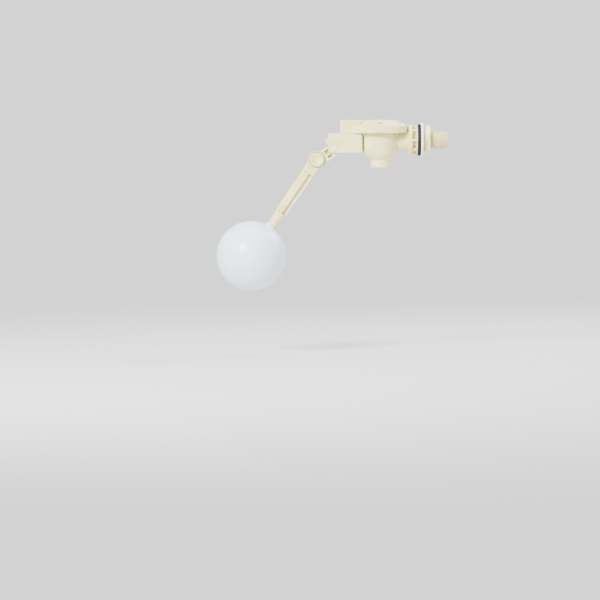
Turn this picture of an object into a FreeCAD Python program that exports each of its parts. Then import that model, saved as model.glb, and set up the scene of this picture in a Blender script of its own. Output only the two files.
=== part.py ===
import FreeCAD, Part
import math
import os

from FreeCAD import Vector

# Pilot-operated float valve for a water tank, in millimetres.
# Origin: the inlet axis where it crosses the flange's sealing face.
# +X runs out through the tank wall to the supply, +Z is up, the lever hangs on the -X side.

# Supply spigot, G 3/4 parallel thread (ISO 228)
thread_radius = 26.441 / 2
thread_depth = 1.162
thread_pitch = 1.814
thread_crest = 0.35
spigot_length = 45.5
shank_relief = 0.32
shank_length = 8.0
shank_run_in = 0.8
inlet_bore = 9.5
spigot_chamfer = 1.4
sewing_tolerance = 1e-4

# Flange on the tank side, a spool of two discs and radial ribs
flange_radius = 23.0
outer_disc = 2.4
rib_gap = 6.0
inner_disc = 5.2
flange_ribs = 8
flange_rib_width = 3.4
edge_round = 0.6
rib_round = 0.5
neck_round = 1.2
inlet_neck_radius = 15.3

# Bowl with the outlet neck below it
bowl_radius = 27.3
bowl_wall = 3.0
bowl_round_z = -8.0
outlet_radius = 15.6
outlet_fillet = 0.9
outlet_bottom = -41.7
drop_pipe_radius = 12.5
drop_pipe_clearance = 0.05
drop_pipe_depth = 14.0
seat_bore = 10.6
seat_wall = 3.4
seat_z = 14.0
seat_lip = 0.7
chamber_floor_angle = 33.0

# Head flange of the bowl, inside the cover's skirt
head_clearance = 0.9
head_bottom = 12.0
head_top = 19.0
gussets = 6
gusset_width = 3.8
gusset_depth = 9.5
gusset_reach = 3.0
gusset_turn = 265.3
back_rib_half = 3.0
back_rib_gap = 0.1
back_rib_bottom = -17.0
back_rib_slope = 3.0
back_rib_root = 4.5

# Cover over the diaphragm
cover_radius = 40.8
cover_gap = 1.4
cover_bottom = 10.5
cover_shoulder = 21.7
cover_top = 30.9
cover_crown_radius = 27.0
cover_crown_edge = 29.6
skirt_wall = 2.7
neck_clearance = 0.7
control_radius = 24.0
control_ceiling = 27.4

# Screws that hold the cover
cover_screws = 6
cover_screw_edge = 3.2
cover_screw_radius = 1.75
cover_screw_head = 3.4
cover_screw_head_height = 2.2
cover_screw_pocket_floor = 22.2
cover_screw_depth = 5.5

# Pilot housing on the cover's left side, and the block that carries the nozzle
housing_reach = 21.5
housing_half_width = 12.2
housing_top = 30.4
housing_fillet = 16.0
housing_corner = 3.0
block_inset = 6.1
block_length = 12.0
block_half_width = 6.0
block_bottom = -5.0
passage_radius = 1.5
passage_z = 24.4
plug_length = 5.0

# Lever bracket under the housing
bracket_nose = 8.3
bracket_bowl_gap = 1.5
bracket_top = 10.2
bracket_bottom = -19.3
cheek_thickness = 3.0
bracket_web = 3.0
bracket_corner = 2.5
block_clearance = 0.3
bracket_screw_inset = 3.7
bracket_screw_y = 5.0
bracket_screw_radius = 1.5
bracket_screw_length = 10.0
bracket_screw_head = 3.0
bracket_screw_head_height = 2.0
stop_bar_radius = 2.0

# Pivot of the lever
pivot_reach = 15.7
pivot_z = -12.2
pin_radius = 2.0
pin_head_radius = 3.1
pin_head_height = 1.6
pin_dimple = 1.1
pin_tail = 3.0
clip_radius = 4.0
clip_thickness = 0.7
clip_groove = 0.5
clip_offset = 0.9
running_clearance = 0.06
side_clearance = 0.3

# Lever: a link down to the knuckle and a short leg with the pilot pad
float_travel = 38.0
link_length = 31.4
link_slope = 35.0
link_above = 7.6
link_below = 11.6
link_flange = 3.0
link_web_half = 2.5
link_rib_z = 3.2
link_rib_half = 1.2
pocket_margin = 0.8
link_half_width = 8.0
hub_radius = 7.6
leg_back = 4.0
leg_front = 3.2
leg_half_width = 5.5
leg_above_pad = 4.5
pad_height = 13.0
pad_radius = 4.0
pad_thickness = 2.0
pad_stand = 1.0
lug_reach = 11.0
lug_top = 2.2
lug_bottom = -3.0
lug_half_width = 5.0
stop_bar_reach = 9.5
stop_gap = 0.15

# Pilot nozzle
nozzle_gap = 0.15
nozzle_radius = 3.5
nozzle_tip_radius = 2.0
nozzle_tip_length = 2.5
nozzle_shank_radius = 2.4
nozzle_bore = 0.8
nozzle_seal_section = 0.9

# Knuckle between the lever and the float arm
knuckle_eye = 13.1
arm_eye = 13.4
eye_clearance = 0.6
knuckle_teeth = 24
knuckle_tooth_depth = 1.1
knuckle_tooth_inner = 5.0
knuckle_tooth_outer = 12.5
knuckle_slack = 0.3
knuckle_shank = 3.0
knuckle_head_radius = 10.6
knuckle_head_height = 3.6
knuckle_dish_radius = 6.9
knuckle_dish_depth = 2.4
knuckle_washer_radius = 6.4
knuckle_washer_thickness = 1.0
knuckle_nut_flats = 10.0
knuckle_nut_height = 5.0
knuckle_tail = 1.5
notch_ring_inner = 10.9
notch_ring_outer = 12.5
notch_width = 1.5
notch_depth = 1.8
face_gap = 0.1

# Float arm
arm_slope = 55.6
arm_length = 177.4
arm_half_top = 9.6
arm_half_bottom = 8.8
arm_socket_radius = 8.0
arm_web_half = 1.7
arm_ridge_half = 2.2
arm_ridge_reach = 7.0
arm_solid_end = 24.0
arm_socket_length = 24.0
arm_stub_radius = 4.0
arm_stub_length = 16.0
arm_fillet = 0.8

# Float ball and the socket welded into it
ball_radius = 53.1
ball_wall = 1.6
socket_radius = 9.8
socket_stand = 2.0
socket_length = 24.0
socket_end_gap = 2.0
seal_radius = 6.2
seal_depth = 1.8

# Diaphragm and the pieces that move with it
valve_lift = 3.0
diaphragm_thickness = 2.0
diaphragm_edge = 2.7
diaphragm_inset = 0.2
plate_margin = 4.3
plate_thickness = 2.5
plate_stem_radius = 4.0
plate_stem_height = 3.0
retainer_radius = 9.6
retainer_thickness = 1.6
retainer_fins = 4
retainer_fin_width = 2.0
retainer_fin_depth = 9.0
seat_guide_clearance = 0.4
valve_screw_radius = 1.5
valve_screw_head = 2.8
valve_screw_head_height = 1.6
spring_radius = 7.0
spring_wire = 0.5
spring_turns = 3.0
bleed_pin_radius = 0.4
bleed_hole_radius = 0.6
bleed_inset = 2.5

# Pieces on the spigot
gasket_thickness = 4.9
gasket_radius = 24.0
gasket_bore_clearance = 0.15
washer_thickness = 3.2
washer_radius = 26.8
clamp_gap = 0.05
thread_clearance = 0.2
nut_flats = 39.0
nut_length = 11.0
nut_collar_length = 3.0
nut_collar_radius = 19.3
nut_chamfer = 1.6
nut_turn = 11.0

# Strainer in the inlet
strainer_clearance = 0.05
strainer_recess = 1.0
strainer_length = 22.0
strainer_wall = 0.9
strainer_slots = 10
strainer_slot_width = 1.8
strainer_collar = 3.0

# Places that follow from the sizes above
flange_back = -(outer_disc + rib_gap + inner_disc)
shank_radius = thread_radius - shank_relief
bowl_x = flange_back - cover_gap - cover_radius
head_radius = cover_radius - skirt_wall - head_clearance
cover_screw_circle = head_radius - cover_screw_edge
diaphragm_radius = cover_screw_circle - diaphragm_edge
plate_radius = bowl_radius - bowl_wall - plate_margin
bleed_circle = plate_radius - bleed_inset
housing_left = bowl_x - cover_radius - housing_reach
block_left = housing_left + block_inset
block_right = block_left + block_length
passage_x = (block_left + block_right) / 2
pivot_x = block_left - pivot_reach
bracket_left = pivot_x - bracket_nose
bracket_right = bowl_x - bowl_radius - bracket_bowl_gap
bracket_screw_x = block_right + bracket_screw_inset
cheek_inner = housing_half_width - cheek_thickness
knuckle_x = pivot_x - link_length * math.cos(math.radians(link_slope))
knuckle_z = pivot_z - link_length * math.sin(math.radians(link_slope))
nozzle_z = pivot_z + pad_height
nozzle_tip = pivot_x + leg_front + pad_stand + nozzle_gap
diaphragm_z = seat_z + valve_lift
socket_face = arm_length - ball_radius - socket_stand
nut_start = gasket_thickness + washer_thickness + 2 * clamp_gap

X_AXIS = Vector(1, 0, 0)
Y_AXIS = Vector(0, 1, 0)
Z_AXIS = Vector(0, 0, 1)


def outline(start, *steps):
    """Face in the XZ plane; a step is an end point, or (point on an arc, end point)."""
    edges = []
    here = Vector(start[0], 0, start[1])
    for step in steps:
        if isinstance(step[0], tuple):
            middle = Vector(step[0][0], 0, step[0][1])
            there = Vector(step[1][0], 0, step[1][1])
            edges.append(Part.Arc(here, middle, there).toShape())
        else:
            there = Vector(step[0], 0, step[1])
            edges.append(Part.LineSegment(here, there).toShape())
        here = there
    edges.append(Part.LineSegment(here, Vector(start[0], 0, start[1])).toShape())
    return Part.Face(Part.Wire(edges))


def turned_upright(face, x=0.0):
    """Turn a face of (radius, height) about a vertical axis at x."""
    solid = face.revolve(Vector(0, 0, 0), Z_AXIS, 360)
    solid.translate(Vector(x, 0, 0))
    return solid


def turned_along_x(face):
    """Turn a face of (x, radius) about the X axis."""
    return face.revolve(Vector(0, 0, 0), X_AXIS, 360)


def rod(radius, start, end):
    """Round bar from one point to another."""
    run = end.sub(start)
    return Part.makeCylinder(radius, run.Length, start, run)


def block(x0, x1, y0, y1, z0, z1):
    """Box between two corners."""
    return Part.makeBox(x1 - x0, y1 - y0, z1 - z0, Vector(x0, y0, z0))


def hexagon(flats, start, length, axis, turn=0.0):
    """Six-sided bar along axis, with its flats turned by an angle."""
    corner = flats / math.sqrt(3)
    points = []
    for side in range(7):
        angle = math.radians(60 * side)
        points.append(Vector(corner * math.cos(angle), corner * math.sin(angle), 0))
    bar = Part.Face(Part.makePolygon(points)).extrude(Vector(0, 0, length))
    bar.rotate(Vector(0, 0, 0), Z_AXIS, turn)
    bar.Placement = FreeCAD.Placement(start, FreeCAD.Rotation(Z_AXIS, axis)).multiply(bar.Placement)
    return bar


def around(shape, count, centre, axis, first=0.0):
    """Copies of a shape spaced evenly about an axis."""
    copies = []
    for index in range(count):
        copy = shape.copy()
        copy.rotate(centre, axis, first + 360.0 * index / count)
        copies.append(copy)
    return copies


def placed_on_lever(shape):
    """Move a shape drawn along the link, from the pivot at the origin, to its place at rest."""
    moved = shape.copy()
    moved.rotate(Vector(0, 0, 0), Y_AXIS, 180 - link_slope)
    moved.translate(Vector(pivot_x, 0, pivot_z))
    return moved


def placed_on_leg(shape):
    """Move a shape drawn on the shut leg, from the pivot at the origin, to its place at rest."""
    moved = shape.copy()
    moved.rotate(Vector(0, 0, 0), Y_AXIS, -float_travel)
    moved.translate(Vector(pivot_x, 0, pivot_z))
    return moved


def placed_on_arm(shape):
    """Move a shape drawn along the arm, from the knuckle at the origin, to its place at rest."""
    moved = shape.copy()
    moved.rotate(Vector(0, 0, 0), Y_AXIS, 180 - arm_slope)
    moved.translate(Vector(knuckle_x, 0, knuckle_z))
    return moved


def edges_along(shape, direction, near=None):
    """Straight edges parallel to a direction, kept where near(edge) is true."""
    kept = []
    for edge in shape.Edges:
        if not isinstance(edge.Curve, Part.Line):
            continue
        along = edge.Vertexes[1].Point.sub(edge.Vertexes[0].Point).normalize()
        if abs(abs(along.dot(direction)) - 1) < 1e-6 and (near is None or near(edge)):
            kept.append(edge)
    return kept


def disc_profile(x0, x1, inner, outer, rounding):
    """Half section of a disc along X with its two rims rounded."""
    lift = rounding * (1 - math.sqrt(0.5))
    return outline(
        (x0, inner), (x0, outer - rounding),
        ((x0 + lift, outer - lift), (x0 + rounding, outer)),
        (x1 - rounding, outer),
        ((x1 - lift, outer - lift), (x1, outer - rounding)),
        (x1, inner))


def helical_turn(radius, x):
    """One turn of a helix about X that starts at x."""
    turn = Part.makeHelix(thread_pitch, thread_pitch, radius).Edges[0]
    turn.rotate(Vector(0, 0, 0), Y_AXIS, 90)
    turn.translate(Vector(x, 0, 0))
    return turn


def threaded_rod(start, end, growth):
    """Rod about X with the helical thread form, made larger all round by growth."""
    root = thread_radius - thread_depth + growth
    crest = thread_radius + growth
    crest_half = thread_crest / 2 + growth / 2
    base_half = crest_half + thread_pitch / 2 - thread_crest
    middle = thread_pitch / 2
    levels = [(0.0, root), (middle - base_half, root), (middle - crest_half, crest),
              (middle + crest_half, crest), (middle + base_half, root), (thread_pitch, root)]
    first = math.floor(start / thread_pitch) - 2
    last = math.ceil(end / thread_pitch) + 2
    faces = []
    for turn in range(first, last):
        x = turn * thread_pitch
        for (x0, r0), (x1, r1) in zip(levels, levels[1:]):
            faces.append(Part.makeRuledSurface(helical_turn(r0, x + x0), helical_turn(r1, x + x1)))
    for turn in (first, last):
        x = turn * thread_pitch
        corners = [Vector(x, 0, 0)] + [Vector(x + dx, 0, -r) for dx, r in levels]
        corners.append(Vector(x + thread_pitch, 0, 0))
        faces.append(Part.Face(Part.makePolygon(corners + [corners[0]])))
        core = Part.LineSegment(corners[0], corners[-1]).toShape()
        faces.append(Part.makeRuledSurface(core, helical_turn(root, x)))
    skin = Part.makeCompound(faces)
    skin.sewShape(sewing_tolerance)
    rod_solid = Part.makeSolid(skin.Shells[0])
    if rod_solid.Volume < 0:
        rod_solid.reverse()
    return rod_solid


def spigot():
    """Plain shank by the flange, then the thread, run out at its start and chamfered at its end."""
    root = thread_radius - thread_depth
    envelope = turned_along_x(outline(
        (shank_length, 0.0), (shank_length, root - 0.05),
        (shank_length + thread_depth, thread_radius + 0.4),
        (spigot_length - spigot_chamfer + 0.2, thread_radius + 0.4),
        (spigot_length, root - 0.4), (spigot_length, 0.0)))
    threaded = threaded_rod(shank_length, spigot_length, 0.0).common(envelope)
    shank = turned_along_x(outline(
        (-outer_disc, 0.0), (-outer_disc, shank_radius), (shank_length - shank_run_in, shank_radius),
        (shank_length, root), (shank_length, 0.0)))
    return threaded.fuse(shank)


def inlet_side():
    """Neck and ribbed flange along X."""
    hollow = neck_round * (1 - math.sqrt(0.5))
    start = flange_back
    lift = edge_round * (1 - math.sqrt(0.5))
    waist = inlet_neck_radius
    rim = flange_radius
    inner = start + inner_disc
    profile = outline(
        (bowl_x, 0.0), (bowl_x, waist), (start - neck_round, waist),
        ((start - hollow, waist + hollow), (start, waist + neck_round)),
        (start, rim - edge_round), ((start + lift, rim - lift), (start + edge_round, rim)),
        (inner - edge_round, rim), ((inner - lift, rim - lift), (inner, rim - edge_round)),
        (inner, waist + neck_round), ((inner + hollow, waist + hollow), (inner + neck_round, waist)),
        (-outer_disc - neck_round, waist),
        ((-outer_disc - hollow, waist + hollow), (-outer_disc, waist + neck_round)),
        (-outer_disc, rim - edge_round), ((-outer_disc + lift, rim - lift),
                                          (-outer_disc + edge_round, rim)),
        (-edge_round, rim), ((-lift, rim - lift), (0.0, rim - edge_round)), (0.0, 0.0))
    rib = block(inner - edge_round, -outer_disc + edge_round,
                -flange_rib_width / 2, flange_rib_width / 2, 0.0, rim - edge_round)
    rib = rib.makeFillet(rib_round, edges_along(rib, X_AXIS, lambda edge: edge.CenterOfMass.z > 1))
    ribs = around(rib, flange_ribs, Vector(0, 0, 0), X_AXIS)
    return turned_along_x(profile).multiFuse(ribs)


def on_round(radius, angle):
    """Point of the bowl's round bottom, at an angle below its widest line."""
    turn = math.radians(angle)
    return (radius * math.cos(turn), bowl_round_z - radius * math.sin(turn))


def bowl_outside():
    """Outer form of the bowl, outlet neck and head flange."""
    shoulder_angle = math.degrees(math.acos((outlet_radius + outlet_fillet) / bowl_radius))
    shoulder, neck_top = on_round(bowl_radius, shoulder_angle)
    blend = outlet_fillet * (1 - math.sqrt(0.5))
    lift = edge_round * (1 - math.sqrt(0.5))
    hollow = neck_round * (1 - math.sqrt(0.5))
    return turned_upright(outline(
        (0.0, outlet_bottom), (outlet_radius - edge_round, outlet_bottom),
        ((outlet_radius - lift, outlet_bottom + lift), (outlet_radius, outlet_bottom + edge_round)),
        (outlet_radius, neck_top - outlet_fillet),
        ((outlet_radius + blend, neck_top - blend), (shoulder, neck_top)),
        (on_round(bowl_radius, shoulder_angle / 2), (bowl_radius, bowl_round_z)),
        (bowl_radius, head_bottom - neck_round),
        ((bowl_radius + hollow, head_bottom - hollow), (bowl_radius + neck_round, head_bottom)),
        (head_radius - edge_round, head_bottom),
        ((head_radius - lift, head_bottom + lift), (head_radius, head_bottom + edge_round)),
        (head_radius, head_top), (0.0, head_top)), bowl_x)


def bowl_gussets():
    """Triangular ribs that carry the head flange."""
    inner = bowl_radius - bowl_wall / 2
    gusset = outline((inner, head_bottom + 1.0), (bowl_radius + gusset_reach, head_bottom + 1.0),
                     (bowl_radius + gusset_reach, head_bottom - 2.5),
                     (inner, head_bottom - gusset_depth - 2.5)).extrude(Vector(0, gusset_width, 0))
    gusset.translate(Vector(bowl_x, -gusset_width / 2, 0))
    return around(gusset, gussets, Vector(bowl_x, 0, 0), Z_AXIS, gusset_turn)


def back_rib():
    """Upright rib on the bowl that backs the lever bracket."""
    root = bowl_radius - bowl_wall / 2
    tip = bowl_radius + bracket_bowl_gap - back_rib_gap
    rib = outline((-root, head_bottom + 1.0), (-tip, head_bottom + 1.0), (-tip, back_rib_bottom),
                  (-(bowl_radius - back_rib_root), back_rib_bottom - back_rib_slope),
                  (-root, bowl_round_z)).extrude(Vector(0, 2 * back_rib_half, 0))
    rib.translate(Vector(bowl_x, -back_rib_half, 0))
    return rib


def water_ways():
    """Everything the water runs through: inlet bore, ring chamber, seat bore, pipe socket."""
    inside = bowl_radius - bowl_wall
    floor_r, chamber_floor = on_round(inside, chamber_floor_angle)
    chamber = turned_upright(outline(
        (seat_bore + seat_wall, chamber_floor), (floor_r, chamber_floor),
        (on_round(inside, chamber_floor_angle / 2), (inside, bowl_round_z)),
        (inside, head_top + 1.0), (0.0, head_top + 1.0),
        (0.0, seat_z), (seat_bore + seat_lip, seat_z), (seat_bore + seat_lip + 1.0, seat_z - 1.4),
        (seat_bore + seat_wall, seat_z - 1.4)), bowl_x)
    seat = rod(seat_bore, Vector(bowl_x, 0, outlet_bottom - 1), Vector(bowl_x, 0, seat_z + 1))
    socket_radius_here = drop_pipe_radius + drop_pipe_clearance
    socket = rod(socket_radius_here, Vector(bowl_x, 0, outlet_bottom - 1),
                 Vector(bowl_x, 0, outlet_bottom + drop_pipe_depth))
    inlet_end = bowl_x + seat_bore + seat_wall / 2 + 2.0
    inlet = rod(inlet_bore, Vector(inlet_end, 0, 0), Vector(spigot_length + 1, 0, 0))
    guard = rod(seat_bore + seat_wall, Vector(bowl_x, 0, chamber_floor - 1),
                Vector(bowl_x, 0, head_top + 2))
    return [chamber, seat, socket, inlet.cut(guard)]


def cover_screw_spots():
    """Centres of the cover's screws."""
    spots = []
    for index in range(cover_screws):
        angle = math.radians(360.0 * (index + 0.5) / cover_screws)
        spots.append((bowl_x + cover_screw_circle * math.cos(angle),
                      cover_screw_circle * math.sin(angle)))
    return spots


def valve_body():
    """Bowl, inlet neck, ribbed flange and threaded spigot, one moulding."""
    solid = bowl_outside().multiFuse([inlet_side(), spigot(), back_rib()] + bowl_gussets())
    holes = water_ways()
    for x, y in cover_screw_spots():
        holes.append(rod(cover_screw_radius, Vector(x, y, head_top - cover_screw_depth - 0.2),
                         Vector(x, y, head_top + 1)))
    return solid.cut(Part.makeCompound(holes)).removeSplitter()


def cover_dome():
    """Turned form of the cover, with its skirt, control chamber and clamping step."""
    crown = cover_top
    steps = outline(
        (0.0, control_ceiling), (control_radius, control_ceiling),
        (control_radius, head_top + diaphragm_thickness),
        (diaphragm_radius + 0.2, head_top + diaphragm_thickness),
        (diaphragm_radius + 0.2, head_top), (cover_radius - skirt_wall, head_top),
        (cover_radius - skirt_wall, cover_bottom), (cover_radius - 0.6, cover_bottom),
        ((cover_radius - 0.18, cover_bottom + 0.18), (cover_radius, cover_bottom + 0.6)),
        (cover_radius, cover_shoulder - 1.2),
        ((cover_radius - 0.4, cover_shoulder - 0.1), (cover_radius - 1.4, cover_shoulder + 0.6)),
        (cover_crown_radius + 1.6, cover_crown_edge - 0.6),
        ((cover_crown_radius, cover_crown_edge), (cover_crown_radius - 2.0, cover_crown_edge + 0.3)),
        ((cover_crown_radius / 2, crown - 0.32), (0.0, crown)))
    return turned_upright(steps, bowl_x)


def housing_fillets():
    """Concave corners where the housing's sides run into the round cover."""
    centre_y = housing_half_width + housing_fillet
    centre_r = cover_radius + housing_fillet
    offset = math.sqrt(centre_r ** 2 - centre_y ** 2)
    centre_x = bowl_x - offset
    touch_x = bowl_x - offset * cover_radius / centre_r
    touch_y = centre_y * cover_radius / centre_r
    parts = []
    for side in (-1, 1):
        points = [Vector(centre_x, side * housing_half_width, cover_bottom),
                  Vector(touch_x, side * touch_y, cover_bottom),
                  Vector(bowl_x - cover_radius / 2, 0, cover_bottom),
                  Vector(centre_x, 0, cover_bottom)]
        web = Part.Face(Part.makePolygon(points + [points[0]]))
        web = web.extrude(Vector(0, 0, cover_shoulder - cover_bottom))
        hollow = rod(housing_fillet, Vector(centre_x, side * centre_y, cover_bottom - 1),
                     Vector(centre_x, side * centre_y, cover_shoulder + 1))
        parts.append(web.cut(hollow))
    return parts


def pilot_housing():
    """Box that reaches left from the cover, and the block below it for the nozzle."""
    box = block(housing_left, bowl_x - cover_radius / 2, -housing_half_width, housing_half_width,
                cover_bottom, housing_top)
    corners = edges_along(box, Z_AXIS, lambda edge: edge.CenterOfMass.x < housing_left + 1)
    box = box.makeFillet(housing_corner, corners)
    top = [edge for edge in box.Edges if edge.BoundBox.ZMin > housing_top - 0.01
           and edge.BoundBox.XMax < bowl_x - cover_radius / 2 - 0.01 or edge.BoundBox.ZMin
           > housing_top - 0.01 and abs(edge.CenterOfMass.y) > housing_half_width - 0.01]
    box = box.makeFillet(1.2, top)
    stem = block(block_left, block_right, -block_half_width, block_half_width,
                 block_bottom, cover_bottom + 1)
    return [box, stem]


def cover_passages():
    """Pilot passage from the control chamber down to the nozzle, and the nozzle's pocket."""
    across = rod(passage_radius, Vector(housing_left - 1, 0, passage_z),
                 Vector(bowl_x - control_radius + 1, 0, passage_z))
    down = rod(passage_radius, Vector(passage_x, 0, nozzle_z), Vector(passage_x, 0, passage_z))
    pocket = rod(nozzle_shank_radius, Vector(block_left - 1, 0, nozzle_z),
                 Vector(passage_x, 0, nozzle_z))
    seal_room = rod(nozzle_shank_radius + nozzle_seal_section, Vector(block_left - 1, 0, nozzle_z),
                    Vector(block_left + nozzle_seal_section + 0.1, 0, nozzle_z))
    plug_room = rod(passage_radius + 0.8, Vector(housing_left - 1, 0, passage_z),
                    Vector(housing_left + plug_length, 0, passage_z))
    return [across, down, pocket, seal_room, plug_room]


def pilot_cover():
    """Cover of the control chamber with the pilot housing, one moulding."""
    solid = cover_dome()
    inner = rod(cover_radius - skirt_wall, Vector(bowl_x, 0, cover_bottom - 1),
                Vector(bowl_x, 0, head_top))
    chamber = rod(control_radius, Vector(bowl_x, 0, cover_bottom - 1),
                  Vector(bowl_x, 0, control_ceiling))
    clamp = rod(diaphragm_radius + 0.2, Vector(bowl_x, 0, cover_bottom - 1),
                Vector(bowl_x, 0, head_top + diaphragm_thickness))
    side = pilot_housing()[0].multiFuse(housing_fillets())
    side = side.cut(Part.makeCompound([inner, chamber, clamp]))
    solid = solid.multiFuse([side, pilot_housing()[1]])
    holes = cover_passages()
    holes.append(rod(inlet_neck_radius + neck_clearance, Vector(bowl_x + head_radius - 3, 0, 0),
                     Vector(bowl_x + cover_radius + 1, 0, 0)))
    for x, y in cover_screw_spots():
        holes.append(rod(cover_screw_radius + 0.3, Vector(x, y, cover_bottom),
                         Vector(x, y, cover_top)))
        holes.append(rod(cover_screw_head + 0.4, Vector(x, y, cover_screw_pocket_floor),
                         Vector(x, y, cover_top)))
    for y in (-bracket_screw_y, bracket_screw_y):
        holes.append(rod(bracket_screw_radius, Vector(bracket_screw_x, y, cover_bottom - 1),
                         Vector(bracket_screw_x, y, bracket_top - bracket_web
                                + bracket_screw_length + 0.3)))
    bleed = rod(bleed_pin_radius, Vector(bowl_x, bleed_circle, control_ceiling - 1),
                Vector(bowl_x, bleed_circle, control_ceiling + 1.5))
    holes.append(bleed)
    return solid.cut(Part.makeCompound(holes)).removeSplitter()


def pan_screw(x, y, under_head, depth, radius, head_radius, head_height, up=1):
    """Pan head screw with a cross recess; up is 1 with the head on top, -1 with it below."""
    rim = head_radius * 0.35
    head = turned_upright(outline(
        (0.0, 0.0), (head_radius, 0.0), (head_radius, head_height - rim),
        ((head_radius - rim * 0.3, head_height - rim * 0.3), (head_radius - rim, head_height)),
        (0.0, head_height)))
    shank = Part.makeCylinder(radius, depth, Vector(0, 0, -depth))
    screw = head.fuse(shank)
    for turn in (0, 90):
        slot = block(-head_radius * 0.6, head_radius * 0.6, -0.35, 0.35,
                     head_height - 1.1, head_height + 1)
        slot.rotate(Vector(0, 0, 0), Z_AXIS, turn)
        screw = screw.cut(slot)
    if up < 0:
        screw.rotate(Vector(0, 0, 0), X_AXIS, 180)
    screw.translate(Vector(x, y, under_head))
    return screw


def cover_screw_set():
    """Screws down through the cover into the head flange."""
    depth = cover_screw_pocket_floor - head_top + cover_screw_depth
    return Part.makeCompound([
        pan_screw(x, y, cover_screw_pocket_floor, depth, cover_screw_radius, cover_screw_head,
                  cover_screw_head_height)
        for x, y in cover_screw_spots()])


def lever_bracket():
    """Two cheeks for the lever, joined by a top web, an end wall and the stop bar."""
    shell = block(bracket_left, bracket_right, -housing_half_width, housing_half_width,
                  bracket_bottom, bracket_top)
    corners = edges_along(shell, Y_AXIS, lambda edge: edge.CenterOfMass.x < bracket_left + 1
                          or edge.CenterOfMass.z < bracket_bottom + 1)
    shell = shell.makeFillet(bracket_corner, corners)
    rims = [edge for edge in shell.Edges if edge.BoundBox.YLength < 0.01
            and edge.CenterOfMass.x < bracket_right - 1 and edge.CenterOfMass.z < bracket_top - 0.1]
    shell = shell.makeFillet(edge_round, rims)
    channel = block(bracket_left - 1, bracket_right - bracket_web, -cheek_inner, cheek_inner,
                    bracket_bottom - 1, bracket_top - bracket_web)
    open_top = block(bracket_left - 1, housing_left, -cheek_inner, cheek_inner,
                     bracket_bottom - 1, bracket_top + 1)
    window = block(block_left - block_clearance, block_right + block_clearance,
                   -block_half_width - block_clearance, block_half_width + block_clearance,
                   bracket_bottom, bracket_top + 1)
    solid = shell.cut(Part.makeCompound([channel.fuse(open_top).fuse(window)]))
    bar_z = pivot_z + lug_top + stop_gap + stop_bar_radius
    bar_x = pivot_x + stop_bar_reach
    bar = rod(stop_bar_radius, Vector(bar_x, -cheek_inner - 1, bar_z),
              Vector(bar_x, cheek_inner + 1, bar_z))
    solid = solid.fuse(bar)
    holes = [rod(pin_radius, Vector(pivot_x, -housing_half_width - 1, pivot_z),
                 Vector(pivot_x, housing_half_width + 1, pivot_z))]
    for y in (-bracket_screw_y, bracket_screw_y):
        holes.append(rod(bracket_screw_radius + 0.2, Vector(bracket_screw_x, y, 0),
                         Vector(bracket_screw_x, y, bracket_top + 1)))
    return solid.cut(Part.makeCompound(holes)).removeSplitter()


def bracket_screw_set():
    """Screws up through the bracket's top web into the housing."""
    return Part.makeCompound([
        pan_screw(bracket_screw_x, y, bracket_top - bracket_web, bracket_screw_length,
                  bracket_screw_radius, bracket_screw_head, bracket_screw_head_height, -1)
        for y in (-bracket_screw_y, bracket_screw_y)])


def pivot_pin():
    """Headed pin through the cheeks and the lever."""
    front = -housing_half_width
    back = housing_half_width + pin_tail
    head = Part.makeCylinder(pin_head_radius, pin_head_height,
                             Vector(pivot_x, front - pin_head_height, pivot_z), Y_AXIS)
    head = head.makeFillet(0.5, [edge for edge in head.Edges
                                 if edge.BoundBox.YMax < front - pin_head_height + 0.01])
    dimple = Part.makeCylinder(pin_dimple, 0.9,
                               Vector(pivot_x, front - pin_head_height, pivot_z), Y_AXIS)
    shank = rod(pin_radius, Vector(pivot_x, front, pivot_z), Vector(pivot_x, back, pivot_z))
    groove_at = housing_half_width + clip_offset
    groove = rod(pin_radius + 1, Vector(pivot_x, groove_at, pivot_z),
                 Vector(pivot_x, groove_at + clip_thickness, pivot_z))
    groove = groove.cut(rod(pin_radius - clip_groove, Vector(pivot_x, groove_at, pivot_z),
                            Vector(pivot_x, groove_at + clip_thickness, pivot_z)))
    return head.cut(dimple).fuse(shank).cut(groove)


def pin_clip():
    """Open retaining ring in the pin's groove."""
    start = Vector(pivot_x, housing_half_width + clip_offset, pivot_z)
    end = Vector(pivot_x, housing_half_width + clip_offset + clip_thickness, pivot_z)
    ring = rod(clip_radius, start, end).cut(rod(pin_radius - clip_groove, start, end))
    mouth = block(pivot_x - 1.1, pivot_x + 1.1, start.y - 1, end.y + 1,
                  pivot_z - clip_radius - 1, pivot_z - pin_radius + clip_groove + 0.4)
    return ring.cut(mouth)


def radial_teeth(face_y, toward):
    """Ring of pointed teeth about the Y axis, standing from face_y toward -1 or +1."""
    pitch_angle = math.pi / knuckle_teeth
    half = knuckle_tooth_inner * math.tan(pitch_angle) * 0.98
    base = face_y - toward * 0.3
    crest = face_y + toward * knuckle_tooth_depth
    points = [Vector(knuckle_tooth_inner, base, -half), Vector(knuckle_tooth_inner, face_y, -half),
              Vector(knuckle_tooth_inner, crest, 0), Vector(knuckle_tooth_inner, face_y, half),
              Vector(knuckle_tooth_inner, base, half)]
    tooth = Part.Face(Part.makePolygon(points + [points[0]]))
    tooth = tooth.extrude(Vector(knuckle_tooth_outer - knuckle_tooth_inner, 0, 0))
    return around(tooth, knuckle_teeth, Vector(0, 0, 0), Y_AXIS)


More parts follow.
